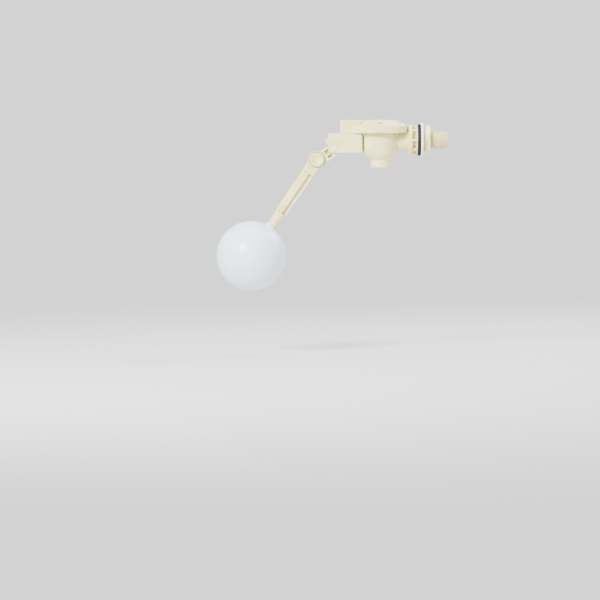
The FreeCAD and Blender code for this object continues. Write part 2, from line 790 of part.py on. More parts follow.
def lever():
    """Bell crank: hub, I-section link, rear eye with teeth, pad leg and stop lug."""
    half_hub = cheek_inner - side_clearance
    hub = rod(hub_radius, Vector(0, -half_hub, 0), Vector(0, half_hub, 0))
    link = block(0, link_length, -link_half_width, link_half_width, -link_above, link_below)
    link = link.makeFillet(1.0, edges_along(link, X_AXIS))
    eye_centre = Vector(link_length, 0, 0)
    front_room = rod(arm_eye + eye_clearance, Vector(link_length, -link_half_width - 1, 0),
                     Vector(link_length, knuckle_slack + knuckle_tooth_depth, 0))
    beyond = block(link_length, link_length + 30, -20, 20, -20, 20)
    eye = rod(knuckle_eye, Vector(link_length, knuckle_slack + knuckle_tooth_depth, 0),
              Vector(link_length, link_half_width, 0))
    link = link.cut(beyond.fuse(front_room)).fuse(eye)
    pocket_start = hub_radius + pocket_margin
    upper = (-link_above + link_flange, link_rib_z - link_rib_half)
    lower = (link_rib_z + link_rib_half, link_below - link_flange)
    for y0, y1 in ((-link_half_width - 1, -link_web_half), (link_web_half, link_half_width + 1)):
        end = link_length - arm_eye - eye_clearance - 2.0
        if y0 > 0:
            end = link_length - knuckle_eye - 0.5
        for z0, z1 in (upper, lower):
            link = link.cut(block(pocket_start, end, y0, y1, z0, z1))
    teeth = radial_teeth(knuckle_slack + knuckle_tooth_depth, -1)
    for tooth in teeth:
        tooth.translate(eye_centre)
    arm_side = placed_on_lever(hub.fuse(link).multiFuse(teeth))
    leg = block(-leg_back, leg_front, -leg_half_width, leg_half_width, 0,
                pad_height + leg_above_pad)
    leg = leg.makeFillet(1.0, edges_along(leg, Y_AXIS, lambda e: e.CenterOfMass.z > pad_height))
    pad_room = rod(pad_radius, Vector(leg_front - pad_thickness + pad_stand, 0, pad_height),
                   Vector(leg_front + 1, 0, pad_height))
    lug = block(0, lug_reach, -lug_half_width, lug_half_width, lug_bottom, lug_top)
    lug.translate(Vector(pivot_x, 0, pivot_z))
    solid = arm_side.multiFuse([placed_on_leg(leg.cut(pad_room)), lug])
    bores = [rod(pin_radius + running_clearance, Vector(pivot_x, -20, pivot_z),
                 Vector(pivot_x, 20, pivot_z)),
             rod(knuckle_shank, Vector(knuckle_x, -20, knuckle_z), Vector(knuckle_x, 20, knuckle_z))]
    return solid.cut(Part.makeCompound(bores)).removeSplitter()


def pilot_pad():
    """Rubber disc in the leg that shuts the nozzle."""
    start = leg_front - pad_thickness + pad_stand
    return placed_on_leg(rod(pad_radius, Vector(start, 0, pad_height),
                             Vector(start + pad_thickness, 0, pad_height)))


def pilot_nozzle():
    """Small nozzle pressed into the block."""
    solid = turned_along_x(outline(
        (nozzle_tip, nozzle_bore), (nozzle_tip, nozzle_tip_radius),
        (nozzle_tip + nozzle_tip_length, nozzle_radius), (block_left, nozzle_radius),
        (block_left, nozzle_shank_radius), (passage_x - passage_radius - 0.2, nozzle_shank_radius),
        (passage_x - passage_radius - 0.2, nozzle_bore)))
    solid.translate(Vector(0, 0, nozzle_z))
    return solid


def nozzle_seal():
    """Ring seal under the nozzle's shoulder."""
    start = Vector(block_left, 0, nozzle_z)
    end = Vector(block_left + nozzle_seal_section, 0, nozzle_z)
    ring = rod(nozzle_shank_radius + nozzle_seal_section, start, end)
    return ring.cut(rod(nozzle_shank_radius, start, end))


def passage_plug():
    """Plug in the outer end of the cross passage."""
    return rod(passage_radius + 0.8, Vector(housing_left, 0, passage_z),
               Vector(housing_left + plug_length, 0, passage_z))


def knuckle_screw():
    """Clamp screw with a wide dished head, through both eyes."""
    head_back = -link_half_width - face_gap
    head_front = head_back - knuckle_head_height
    dish_floor = head_front + knuckle_dish_depth
    dish_lip = head_front + 0.4
    profile = outline(
        (0.0, 0.0), (0.0, dish_floor),
        ((knuckle_dish_radius / 2, dish_floor - (dish_floor - dish_lip) / 4),
         (knuckle_dish_radius, dish_lip)),
        ((knuckle_dish_radius + 0.6, head_front + 0.08), (knuckle_dish_radius + 1.4, head_front)),
        (knuckle_head_radius - 1.2, head_front),
        ((knuckle_head_radius - 0.35, head_front + 0.35), (knuckle_head_radius, head_front + 1.2)),
        (knuckle_head_radius, head_back), (knuckle_shank, head_back), (knuckle_shank, 0.0))
    solid = profile.revolve(Vector(0, 0, 0), Z_AXIS, 360)
    tail = (link_half_width + knuckle_washer_thickness + knuckle_nut_height + knuckle_tail)
    solid = solid.fuse(Part.makeCylinder(knuckle_shank, tail))
    solid.rotate(Vector(0, 0, 0), X_AXIS, -90)
    solid.translate(Vector(knuckle_x, 0, knuckle_z))
    return solid


def knuckle_washer():
    """Plain washer under the clamp nut."""
    start = Vector(knuckle_x, link_half_width, knuckle_z)
    end = Vector(knuckle_x, link_half_width + knuckle_washer_thickness, knuckle_z)
    return rod(knuckle_washer_radius, start, end).cut(rod(knuckle_shank, start, end))


def knuckle_nut():
    """Hexagon nut on the clamp screw."""
    start = Vector(knuckle_x, link_half_width + knuckle_washer_thickness, knuckle_z)
    nut = hexagon(knuckle_nut_flats, start, knuckle_nut_height, Y_AXIS)
    corner = knuckle_nut_flats / math.sqrt(3)
    cone = Part.makeCone(corner + knuckle_nut_height, corner - 0.6, knuckle_nut_height + 0.4,
                         start, Y_AXIS)
    hole = rod(knuckle_shank, Vector(knuckle_x, 0, knuckle_z), Vector(knuckle_x, 30, knuckle_z))
    return nut.common(cone).cut(hole)


def arm_blade():
    """Flat web of the arm, tapering toward the ball."""
    end = socket_face - arm_socket_length + 1.0
    points = [Vector(0, -arm_web_half, -arm_half_top), Vector(0, -arm_web_half, arm_half_top),
              Vector(end, -arm_web_half, arm_half_bottom),
              Vector(end, -arm_web_half, -arm_half_bottom)]
    return Part.Face(Part.makePolygon(points + [points[0]])).extrude(Vector(0, 2 * arm_web_half, 0))


def float_arm():
    """Cross-section arm with a toothed eye above and a round threaded end below."""
    front = -link_half_width
    eye_back = -knuckle_slack - knuckle_tooth_depth
    eye = rod(arm_eye, Vector(0, front, 0), Vector(0, eye_back, 0))
    eye = eye.makeFillet(0.8, [edge for edge in eye.Edges if edge.BoundBox.YMax < front + 0.01])
    notch = block(notch_ring_inner, notch_ring_outer, front - 1, front + notch_depth,
                  -notch_width / 2, notch_width / 2)
    eye = eye.cut(Part.makeCompound(around(notch, knuckle_teeth, Vector(0, 0, 0), Y_AXIS)))
    neck = block(0, arm_solid_end, front, -front, -arm_half_top, arm_half_top)
    neck = neck.makeFillet(1.5, edges_along(neck, X_AXIS))
    lever_room = rod(knuckle_eye + eye_clearance, Vector(0, eye_back, 0), Vector(0, 20, 0))
    front_room = rod(arm_eye - 0.5, Vector(0, front - 1, 0), Vector(0, eye_back + 1, 0))
    neck = neck.cut(lever_room.fuse(front_room))
    socket_start = socket_face - arm_socket_length
    ridge = block(arm_solid_end - 2, socket_start + 2, -arm_ridge_reach, arm_ridge_reach,
                  -arm_ridge_half, arm_ridge_half)
    ridge = ridge.makeFillet(arm_fillet, edges_along(ridge, X_AXIS))
    blade = arm_blade().cut(rod(knuckle_eye + eye_clearance, Vector(0, -20, 0), Vector(0, 20, 0)))
    socket = rod(arm_socket_radius, Vector(socket_start, 0, 0), Vector(socket_face, 0, 0))
    socket = socket.makeFillet(0.6, [edge for edge in socket.Edges
                                     if edge.BoundBox.XLength < 0.01])
    stub = rod(arm_stub_radius, Vector(socket_face - 1, 0, 0),
               Vector(socket_face + arm_stub_length, 0, 0))
    solid = eye.multiFuse([neck, ridge, blade, socket, stub] + radial_teeth(eye_back, 1))
    bore = rod(knuckle_shank + running_clearance, Vector(0, -20, 0), Vector(0, 20, 0))
    return placed_on_arm(solid.cut(bore).removeSplitter())


def float_ball():
    """Hollow ball with a round hole for its socket."""
    centre = Vector(arm_length, 0, 0)
    shell = Part.makeSphere(ball_radius, centre).cut(Part.makeSphere(ball_radius - ball_wall, centre))
    hole = rod(socket_radius, Vector(0, 0, 0), Vector(arm_length, 0, 0))
    return placed_on_arm(shell.cut(hole))


def ball_socket():
    """Closed sleeve welded into the ball, threaded for the arm's stub."""
    sleeve = rod(socket_radius, Vector(socket_face, 0, 0),
                 Vector(socket_face + socket_length, 0, 0))
    bore = rod(arm_stub_radius, Vector(socket_face - 1, 0, 0),
               Vector(socket_face + socket_length - socket_end_gap, 0, 0))
    seal_room = rod(seal_radius, Vector(socket_face - 1, 0, 0),
                    Vector(socket_face + seal_depth, 0, 0))
    return placed_on_arm(sleeve.cut(bore.fuse(seal_room)))


def ball_seal():
    """Rubber ring between the arm's shoulder and the socket."""
    start = Vector(socket_face, 0, 0)
    end = Vector(socket_face + seal_depth, 0, 0)
    return placed_on_arm(rod(seal_radius, start, end).cut(rod(arm_stub_radius, start, end)))


def diaphragm():
    """Rubber diaphragm in its open position, clamped at the rim."""
    low = diaphragm_z
    high = low + diaphragm_thickness
    rim_low = head_top
    rim_high = rim_low + diaphragm_thickness
    clamp = bowl_radius - bowl_wall - diaphragm_inset
    fold = (plate_radius + clamp) / 2
    solid = turned_upright(outline(
        (valve_screw_radius, low), (plate_radius - 0.5, low),
        ((fold - 0.9, low - 1.0), (fold, low - 0.8)),
        (clamp, rim_low), (diaphragm_radius, rim_low),
        (diaphragm_radius, rim_high), (clamp, rim_high),
        (fold + 0.4, low + 1.2), (plate_radius + 0.2, high), (valve_screw_radius, high)), bowl_x)
    return solid.cut(rod(bleed_hole_radius, Vector(bowl_x, bleed_circle, low - 1),
                         Vector(bowl_x, bleed_circle, high + 1)))


def diaphragm_plate():
    """Stiff plate on top of the diaphragm, with a stem that centres the spring."""
    low = diaphragm_z + diaphragm_thickness
    solid = turned_upright(outline(
        (valve_screw_radius, low), (plate_radius, low),
        (plate_radius, low + plate_thickness - 0.6), (plate_radius - 0.6, low + plate_thickness),
        (plate_stem_radius, low + plate_thickness),
        (plate_stem_radius, low + plate_thickness + plate_stem_height),
        (valve_screw_radius, low + plate_thickness + plate_stem_height)), bowl_x)
    hole = rod(bleed_hole_radius, Vector(bowl_x, bleed_circle, low - 1),
               Vector(bowl_x, bleed_circle, low + plate_thickness + 1))
    return solid.cut(hole)


def diaphragm_retainer():
    """Disc below the diaphragm with fins that guide it in the seat bore."""
    high = diaphragm_z
    low = high - retainer_thickness
    disc = Part.makeCylinder(retainer_radius, retainer_thickness, Vector(bowl_x, 0, low))
    guide = seat_bore - seat_guide_clearance
    fin = block(valve_screw_head + 0.4, guide, -retainer_fin_width / 2, retainer_fin_width / 2,
                low - retainer_fin_depth, low + 0.2)
    fin.translate(Vector(bowl_x, 0, 0))
    fins = around(fin, retainer_fins, Vector(bowl_x, 0, 0), Z_AXIS)
    hole = rod(valve_screw_radius, Vector(bowl_x, 0, low - 1), Vector(bowl_x, 0, high + 1))
    return disc.multiFuse(fins).cut(hole)


def diaphragm_screw():
    """Screw that clamps plate, diaphragm and retainer together from below."""
    depth = (retainer_thickness + diaphragm_thickness + plate_thickness + plate_stem_height)
    return pan_screw(bowl_x, 0, diaphragm_z - retainer_thickness, depth, valve_screw_radius,
                     valve_screw_head, valve_screw_head_height, -1)


def return_spring():
    """Coil spring between the plate and the control chamber's ceiling."""
    low = diaphragm_z + diaphragm_thickness + plate_thickness + spring_wire + 0.02
    high = control_ceiling - spring_wire - 0.02
    helix = Part.makeHelix((high - low) / spring_turns, high - low, spring_radius)
    section = Part.Wire(Part.Circle(Vector(spring_radius, 0, 0), Y_AXIS, spring_wire).toShape())
    spring = Part.Wire(helix.Edges).makePipeShell([section], True, True)
    spring.translate(Vector(bowl_x, 0, low))
    return spring


def bleed_pin():
    """Needle fixed in the ceiling that keeps the diaphragm's bleed hole clean."""
    return rod(bleed_pin_radius, Vector(bowl_x, bleed_circle, seat_z + 0.8),
               Vector(bowl_x, bleed_circle, control_ceiling + 1.5))


def flange_gasket():
    """Rubber ring that seals against the tank wall."""
    return turned_along_x(disc_profile(0.0, gasket_thickness, thread_radius + gasket_bore_clearance,
                                       gasket_radius, edge_round))


def slip_washer():
    """Stiff washer between the gasket or wall and the nut."""
    start = gasket_thickness + clamp_gap
    return turned_along_x(disc_profile(start, start + washer_thickness,
                                       thread_radius + thread_clearance, washer_radius, edge_round))


def lock_nut():
    """Hexagon lock nut with a round collar and chamfered corners."""
    end = nut_start + nut_length
    nut = hexagon(nut_flats, Vector(nut_start, 0, 0), nut_length, X_AXIS, nut_turn)
    corner = nut_flats / math.sqrt(3)
    form = turned_along_x(outline(
        (nut_start, 0.0), (nut_start, nut_collar_radius),
        (nut_start + nut_collar_length - 0.6, nut_collar_radius),
        (nut_start + nut_collar_length, nut_collar_radius + 0.9),
        (nut_start + nut_collar_length + 0.6, corner + 0.1), (end - nut_chamfer, corner + 0.1),
        (end, corner - 2 * nut_chamfer), (end, 0.0)))
    envelope = rod(thread_radius + 2, Vector(nut_start - 1, 0, 0), Vector(end + 1, 0, 0))
    bore = threaded_rod(nut_start - 1, end + 1, thread_clearance).common(envelope)
    inner = thread_radius - thread_depth - 0.1
    relief = thread_depth + thread_clearance + 0.4
    mouths = [Part.makeCone(inner + relief, inner, relief, Vector(nut_start, 0, 0), X_AXIS),
              Part.makeCone(inner, inner + relief, relief, Vector(end - relief, 0, 0), X_AXIS)]
    return nut.common(form).cut(bore.multiFuse(mouths))


def inlet_strainer():
    """Slotted cup that catches grit at the inlet."""
    outer = inlet_bore - strainer_clearance
    end = spigot_length - strainer_recess
    start = end - strainer_length
    cup = rod(outer, Vector(start, 0, 0), Vector(end, 0, 0))
    waist = rod(outer + 1, Vector(start, 0, 0), Vector(end - strainer_collar, 0, 0))
    waist = waist.cut(rod(outer - strainer_wall, Vector(start, 0, 0),
                          Vector(end - strainer_collar, 0, 0)))
    inside = rod(outer - 2 * strainer_wall, Vector(start + strainer_wall, 0, 0),
                 Vector(end + 1, 0, 0))
    slot = block(start + 2.0, end - strainer_collar - 2.0, -strainer_slot_width / 2,
                 strainer_slot_width / 2, 0.5 * outer, outer + 1)
    slots = around(slot, strainer_slots, Vector(0, 0, 0), X_AXIS)
    return cup.cut(Part.makeCompound([waist])).cut(inside).cut(Part.makeCompound(slots))


NODES = {
    "valve_body": valve_body,
    "pilot_cover": pilot_cover,
    "cover_screws": cover_screw_set,
    "lever_bracket": lever_bracket,
    "bracket_screws": bracket_screw_set,
    "diaphragm": diaphragm,
    "diaphragm_plate": diaphragm_plate,
    "diaphragm_retainer": diaphragm_retainer,
    "diaphragm_screw": diaphragm_screw,
    "return_spring": return_spring,
    "bleed_pin": bleed_pin,
    "passage_plug": passage_plug,
    "pilot_nozzle": pilot_nozzle,
    "nozzle_seal": nozzle_seal,
    "lever": lever,
    "pilot_pad": pilot_pad,
    "pivot_pin": pivot_pin,
    "pin_clip": pin_clip,
    "float_arm": float_arm,
    "knuckle_screw": knuckle_screw,
    "knuckle_washer": knuckle_washer,
    "knuckle_nut": knuckle_nut,
    "float_ball": float_ball,
    "ball_socket": ball_socket,
    "ball_seal": ball_seal,
    "flange_gasket": flange_gasket,
    "slip_washer": slip_washer,
    "lock_nut": lock_nut,
    "inlet_strainer": inlet_strainer,
}


def main():
    os.makedirs("parts", exist_ok=True)
    for name, make in NODES.items():
        shape = make()
        print(name, len(shape.Solids), shape.isValid(), round(shape.Volume, 1))
        shape.exportStep("parts/" + name + ".step")


main()
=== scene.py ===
"""Looks of a plastic float valve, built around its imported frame. Lengths are in metres."""

import math

import bmesh
import bpy
from bpy.props import FloatProperty, FloatVectorProperty, IntProperty, PointerProperty
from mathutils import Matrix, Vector


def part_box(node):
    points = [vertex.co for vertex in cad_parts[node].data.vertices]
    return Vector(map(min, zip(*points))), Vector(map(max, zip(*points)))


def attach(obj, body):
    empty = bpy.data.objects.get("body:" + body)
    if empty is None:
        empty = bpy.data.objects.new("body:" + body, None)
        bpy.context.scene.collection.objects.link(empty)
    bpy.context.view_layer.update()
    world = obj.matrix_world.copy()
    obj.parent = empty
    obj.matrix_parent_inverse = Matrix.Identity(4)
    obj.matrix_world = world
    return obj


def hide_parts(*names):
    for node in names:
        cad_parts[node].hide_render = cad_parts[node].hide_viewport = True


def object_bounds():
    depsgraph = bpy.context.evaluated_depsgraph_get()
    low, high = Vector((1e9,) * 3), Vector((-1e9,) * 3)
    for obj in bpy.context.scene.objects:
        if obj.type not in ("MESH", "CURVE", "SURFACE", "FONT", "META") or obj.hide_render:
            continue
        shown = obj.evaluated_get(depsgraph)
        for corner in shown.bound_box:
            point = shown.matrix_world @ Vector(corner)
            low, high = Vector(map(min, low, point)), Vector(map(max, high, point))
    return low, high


bl_info = {
    "name": "Float valve",
    "version": (1, 0, 0),
    "blender": (4, 5, 0),
    "location": "View3D > Sidebar > Float valve",
    "description": "Finishes and stage of a tank float valve",
    "category": "Object",
}

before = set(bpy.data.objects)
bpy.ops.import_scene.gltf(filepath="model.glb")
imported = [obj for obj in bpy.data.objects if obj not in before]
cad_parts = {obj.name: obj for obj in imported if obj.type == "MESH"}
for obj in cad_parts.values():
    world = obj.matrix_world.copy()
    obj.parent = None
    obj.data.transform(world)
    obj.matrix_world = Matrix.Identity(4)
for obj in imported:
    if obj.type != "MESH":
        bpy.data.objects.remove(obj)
CAD_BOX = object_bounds()

CREAM_NODES = ("valve_body", "pilot_cover", "lever_bracket", "lever", "float_arm",
               "knuckle_screw", "lock_nut")
STEEL_NODES = ("cover_screws", "bracket_screws", "diaphragm_screw", "return_spring",
               "bleed_pin", "pin_clip", "knuckle_washer")
BRASS_NODES = ("pilot_nozzle", "knuckle_nut")
RUBBER_NODES = ("flange_gasket", "ball_seal", "nozzle_seal")
GREY_RUBBER_NODES = ("diaphragm", "pilot_pad")
WHITE_NODES = ("slip_washer", "pivot_pin", "diaphragm_plate", "diaphragm_retainer",
               "passage_plug", "inlet_strainer")

# Colours that no setting holds
BLACK = (0, 0, 0)
WHITE = (1, 1, 1)
STEEL = (0.55, 0.55, 0.54)
STEEL_WORN = (0.66, 0.66, 0.65)
BRASS = (0.70, 0.52, 0.22)
BRASS_WORN = (0.80, 0.63, 0.32)
GREY_RUBBER = (0.09, 0.09, 0.095)
# Grey of the painted shade in the white parts' corners
WHITE_PAINTED_SHADE = (0.55, 0.55, 0.54)
PAPER = (0.60, 0.60, 0.60)
PAPER_PALE = (0.62, 0.62, 0.62)

# Sockets of a colour mix node, by number because its names repeat
MIX_FACTOR = 0
MIX_FIRST = 6
MIX_SECOND = 7
MIX_RESULT = 2

BEVEL_SAMPLES = 6
CORNER_SAMPLES = 8

# Lights: name, place from the valve's middle, side of the square, share of the key's power
LIGHTS = (
    ("key_light", (-1.1, -1.7, 1.0), 0.5, 1.0),
    ("rim_light", (1.1, 0.9, 1.1), 0.8, 0.25),
    ("top_light", (0.1, 0.0, 1.8), 1.2, 0.2),
)
FLOOR_SEGMENTS = 96
CAMERA_REACH = 50


class FinishSettings(bpy.types.PropertyGroup):
    """Colours and surface of the valve's materials."""

    cream: FloatVectorProperty(
        name="Cream ABS", description="Colour of the moulded valve parts",
        subtype="COLOR", size=3, min=0, max=1, default=(0.79, 0.71, 0.29))
    # This colour is both real dirt, for specks and scuffs, and painted shade laid into crevices.
    cream_dirt_and_shade: FloatVectorProperty(
        name="Cream in crevices", description="Colour of the same plastic where it is aged",
        subtype="COLOR", size=3, min=0, max=1, default=(0.34, 0.24, 0.07))
    cream_edge: FloatVectorProperty(
        name="Cream on edges", description="Paler colour of the same plastic on rubbed edges",
        subtype="COLOR", size=3, min=0, max=1, default=(0.92, 0.87, 0.54))
    cream_roughness: FloatProperty(
        name="Cream roughness", description="Mean roughness of the moulded plastic",
        min=0, max=1, default=0.42)
    edge_softness: FloatProperty(
        name="Edge softness", description="Rounding that moulding leaves on sharp edges",
        unit="LENGTH", default=0.0004)
    float_white: FloatVectorProperty(
        name="Float white", description="Colour of the blown float",
        subtype="COLOR", size=3, min=0, max=1, default=(0.61, 0.74, 0.81))
    float_haze: FloatVectorProperty(
        name="Float haze", description="Paler streaks in the float's wall",
        subtype="COLOR", size=3, min=0, max=1, default=(0.80, 0.90, 0.93))
    # This colour is both real scuffs and painted shade in the float's corners.
    float_scuff_and_shade: FloatVectorProperty(
        name="Float scuffs", description="Colour of scuffs and grime on the float",
        subtype="COLOR", size=3, min=0, max=1, default=(0.42, 0.46, 0.48))
    washer_white: FloatVectorProperty(
        name="Washer white", description="Colour of the slip washer and the pin",
        subtype="COLOR", size=3, min=0, max=1, default=(0.86, 0.87, 0.88))
    rubber_black: FloatVectorProperty(
        name="Rubber black", description="Colour of the gasket",
        subtype="COLOR", size=3, min=0, max=1, default=(0.006, 0.006, 0.007))


class FloatSettings(bpy.types.PropertyGroup):
    """Details of the blown ball."""

    seam_height: FloatProperty(
        name="Seam height", description="How far the parting line stands proud",
        unit="LENGTH", default=0.00022)
    seam_width: FloatProperty(
        name="Seam width", description="Width of the parting line",
        unit="LENGTH", default=0.0011)
    sprue_radius: FloatProperty(
        name="Sprue mark", description="Radius of the round mark opposite the socket",
        unit="LENGTH", default=0.0062)
    sprue_groove: FloatProperty(
        name="Sprue groove", description="Width of the groove round that mark",
        unit="LENGTH", default=0.0009)
    sprue_depth: FloatProperty(
        name="Sprue depth", description="Depth of that groove", unit="LENGTH", default=0.0004)
    rows: IntProperty(name="Rows", description="Rings of faces along the arm's axis", default=96)
    columns: IntProperty(
        name="Columns", description="Faces round each half of the ball", default=88)


class StageSettings(bpy.types.PropertyGroup):
    """Camera, floor and lights."""

    azimuth: FloatProperty(
        name="Camera azimuth", description="Angle round the valve, 0 looks along +Y",
        subtype="ANGLE", default=0.0)
    elevation: FloatProperty(
        name="Camera elevation", description="Angle above the horizon",
        subtype="ANGLE", default=math.radians(3.0))
    lens: FloatProperty(
        name="Lens", description="Focal length of the camera, in millimetres", default=200.0)
    view_width: FloatProperty(
        name="View width", description="Width seen at the valve, with the tank's space round it",
        unit="LENGTH", default=0.9168)
    aim_across: FloatProperty(
        name="Aim across", description="The camera's aim, from the ball's far side along X",
        unit="LENGTH", default=0.1275)
    aim_down: FloatProperty(
        name="Aim down", description="The camera's aim, below the valve's top",
        unit="LENGTH", default=0.2751)
    floor_drop: FloatProperty(
        name="Floor drop", description="Depth of the floor below the float at rest",
        unit="LENGTH", default=0.10)
    floor_radius: FloatProperty(
        name="Floor radius", description="Radius of the floor", unit="LENGTH", default=2.6)
    key_power: FloatProperty(
        name="Key power", description="Power of the main light, in watts", default=150.0)
    sky: FloatProperty(
        name="Sky", description="Strength of the even light from all round", default=1.55)


def settings():
    """The scene's settings for this valve."""
    return bpy.context.scene.float_valve


class ValveSettings(bpy.types.PropertyGroup):
    """All settings of the valve."""

    finish: PointerProperty(type=FinishSettings)
    ball: PointerProperty(type=FloatSettings)
    stage: PointerProperty(type=StageSettings)


# Materials


def scaled(colour, factor):
    """Colour times a factor, kept within white."""
    return tuple(min(1.0, c * factor) for c in colour)


def grey(value):
    """Neutral colour of one value."""
    return (value,) * 3


def new_material(name):
    """Empty node material with its shader; returns (material, node maker, linker, shader)."""
    material = bpy.data.materials.new(name)
    material.use_nodes = True
    nodes = material.node_tree.nodes
    links = material.node_tree.links
    shader = nodes["Principled BSDF"]

    def make(kind, **values):
        node = nodes.new(kind)
        for key, value in values.items():
            if key in node.inputs:
                node.inputs[key].default_value = value
            else:
                setattr(node, key, value)
        return node

    return material, make, links.new, shader


def noise(make, link, coordinates, scale, detail=3.0, roughness=0.55):
    """Noise in object space."""
    node = make("ShaderNodeTexNoise", Scale=scale, Detail=detail, Roughness=roughness)
    link(coordinates.outputs["Object"], node.inputs["Vector"])
    return node


def ramp(make, link, factor, low, high, low_colour, high_colour):
    """Colour ramp between two stops, low and high being the factor at each."""
    node = make("ShaderNodeValToRGB")
    stops = node.color_ramp.elements
    stops[0].position = low
    stops[0].color = (*low_colour, 1)
    stops[1].position = high
    stops[1].color = (*high_colour, 1)
    link(factor, node.inputs["Fac"])
    return node


def mix_colour(make, link, factor, first, second, blend="MIX"):
    """Mix of two colour sockets or colours."""
    node = make("ShaderNodeMix", data_type="RGBA", blend_type=blend)
    for number, value in ((MIX_FACTOR, factor), (MIX_FIRST, first), (MIX_SECOND, second)):
        socket = node.inputs[number]
        if hasattr(value, "links"):
            link(value, socket)
        elif socket.type == "RGBA":
            socket.default_value = (*value, 1)
        else:
            socket.default_value = value
    return node.outputs[MIX_RESULT]


def span(make, link, factor, low, high):
    """Map a 0 to 1 factor onto a range."""
    node = make("ShaderNodeMapRange")
    node.inputs["To Min"].default_value = low
    node.inputs["To Max"].default_value = high
    link(factor, node.inputs["Value"])
    return node.outputs["Result"]


def layer(height, distance, strength):
    """One bump layer: its height socket, its distance in metres and its strength."""
    return height, distance, strength


def bumps(make, link, shader, layers, softened=0.0):
    """Stack of bump layers, on edges softened by a radius in metres."""
    normal = None
    if softened:
        round_edge = make("ShaderNodeBevel", Radius=softened, samples=BEVEL_SAMPLES)
        normal = round_edge.outputs["Normal"]
    for height, distance, strength in layers:
        node = make("ShaderNodeBump", Distance=distance, Strength=strength)
        link(height, node.inputs["Height"])
        if normal is not None:
            link(normal, node.inputs["Normal"])
        normal = node.outputs["Normal"]
    link(normal, shader.inputs["Normal"])


def streaks(make, link, coordinates, scale):
    """Noise drawn out along X, as plastic flows into a mould."""
    along_flow = 0.35
    stretch = make("ShaderNodeMapping")
    stretch.inputs["Scale"].default_value = (along_flow, 1.0, 1.0)
    link(coordinates.outputs["Object"], stretch.inputs["Vector"])
    node = make("ShaderNodeTexNoise", Scale=scale, Detail=5.0, Roughness=0.62, Distortion=0.6)
    link(stretch.outputs["Vector"], node.inputs["Vector"])
    return node


def hairlines(make, link, coordinates, scale):
    """Thin scattered lines of handling, 1 on a line and 0 off it."""
    line_width = 0.012
    patch_start, patch_full = 0.52, 0.62
    bent = make("ShaderNodeTexNoise", Scale=scale * 0.4, Detail=2.0)
    link(coordinates.outputs["Object"], bent.inputs["Vector"])
    cells = make("ShaderNodeTexVoronoi", feature="DISTANCE_TO_EDGE", Scale=scale)
    link(bent.outputs["Color"], cells.inputs["Vector"])
    line = make("ShaderNodeMapRange")
    line.inputs["From Min"].default_value = line_width
    line.inputs["From Max"].default_value = 0.0
    link(cells.outputs["Distance"], line.inputs["Value"])
    where = make("ShaderNodeTexNoise", Scale=scale * 0.7, Detail=1.0)
    link(coordinates.outputs["Object"], where.inputs["Vector"])
    here = ramp(make, link, where.outputs["Fac"], patch_start, patch_full, BLACK, WHITE)
    both = make("ShaderNodeMath", operation="MULTIPLY")
    link(line.outputs["Result"], both.inputs[0])
    link(here.outputs["Color"], both.inputs[1])
    return both.outputs["Value"]


def crevices(make, link, reach, strength):
    """Mask of painted shade that grows in corners and gaps, read from ambient occlusion."""
    closed, open_air = 0.1, 0.92
    corner = make("ShaderNodeAmbientOcclusion", Distance=reach, samples=CORNER_SAMPLES)
    depth = make("ShaderNodeMapRange")
    depth.inputs["From Min"].default_value = closed
    depth.inputs["From Max"].default_value = open_air
    depth.inputs["To Min"].default_value = strength
    depth.inputs["To Max"].default_value = 0.0
    link(corner.outputs["AO"], depth.inputs["Value"])
    return depth.outputs["Result"]


def worn_edges(make, link, unevenness, reach):
    """Mask that is bright along sharp edges, where the rounded normal leaves the true one."""
    flat, sharp = 0.999, 0.86
    rounded = make("ShaderNodeBevel", Radius=reach, samples=BEVEL_SAMPLES)
    true = make("ShaderNodeNewGeometry")
    facing = make("ShaderNodeVectorMath", operation="DOT_PRODUCT")
    link(rounded.outputs["Normal"], facing.inputs[0])
    link(true.outputs["Normal"], facing.inputs[1])
    edge = make("ShaderNodeMapRange")
    edge.inputs["From Min"].default_value = flat
    edge.inputs["From Max"].default_value = sharp
    link(facing.outputs["Value"], edge.inputs["Value"])
    patchy = make("ShaderNodeMath", operation="MULTIPLY")
    link(edge.outputs["Result"], patchy.inputs[0])
    link(unevenness, patchy.inputs[1])
    return patchy.outputs["Value"]


